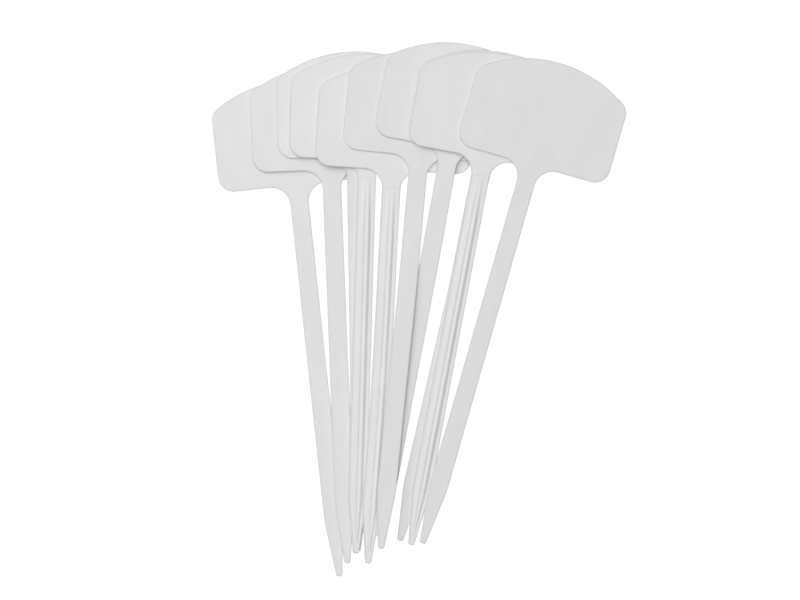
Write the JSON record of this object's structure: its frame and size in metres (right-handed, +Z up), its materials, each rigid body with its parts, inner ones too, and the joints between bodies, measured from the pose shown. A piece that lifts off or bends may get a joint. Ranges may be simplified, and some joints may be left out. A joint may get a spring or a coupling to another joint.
{
  "type": "plant label stake set",
  "caption": "Loose fan of plain white T-shaped plant label stakes, each with a wide domed writing head on a long, pointed, ribbed shaft that is pushed into soil.",
  "frame": {"origin": "on the surface that the fan lies on, under the middle of its outline seen from above", "axes": "+Y from the points towards the heads, +X to the right seen from above, +Z up"},
  "size_m": [0.2073, 0.2673, 0.0092],
  "materials": {
    "label_plastic": "white moulded polypropylene, matt with a fine grain"
  },
  "bodies": {
    "label_01": {"label_01": "label_plastic"},
    "label_02": {"label_02": "label_plastic"},
    "label_03": {"label_03": "label_plastic"},
    "label_04": {"label_04": "label_plastic"},
    "label_05": {"label_05": "label_plastic"},
    "label_06": {"label_06": "label_plastic"},
    "label_07": {"label_07": "label_plastic"},
    "label_08": {"label_08": "label_plastic"},
    "label_09": {"label_09": "label_plastic"},
    "label_10": {"label_10": "label_plastic"}
  },
  "joints": [
    {"name": "label_02_lift", "type": "slide", "parent": "label_01", "child": "label_02", "axis": [0, 0, 1], "range_m": [0, 0.03]},
    {"name": "label_03_lift", "type": "slide", "parent": "label_02", "child": "label_03", "axis": [0, 0, 1], "range_m": [0, 0.03]},
    {"name": "label_04_lift", "type": "slide", "parent": "label_03", "child": "label_04", "axis": [0, 0, 1], "range_m": [0, 0.03]},
    {"name": "label_05_lift", "type": "slide", "parent": "label_04", "child": "label_05", "axis": [0, 0, 1], "range_m": [0, 0.03]},
    {"name": "label_06_lift", "type": "slide", "parent": "label_05", "child": "label_06", "axis": [0, 0, 1], "range_m": [0, 0.03]},
    {"name": "label_07_lift", "type": "slide", "parent": "label_06", "child": "label_07", "axis": [0, 0, 1], "range_m": [0, 0.03]},
    {"name": "label_08_lift", "type": "slide", "parent": "label_07", "child": "label_08", "axis": [0, 0, 1], "range_m": [0, 0.03]},
    {"name": "label_09_lift", "type": "slide", "parent": "label_08", "child": "label_09", "axis": [0, 0, 1], "range_m": [0, 0.03]},
    {"name": "label_10_lift", "type": "slide", "parent": "label_09", "child": "label_10", "axis": [0, 0, 1], "range_m": [0, 0.03]}
  ]
}
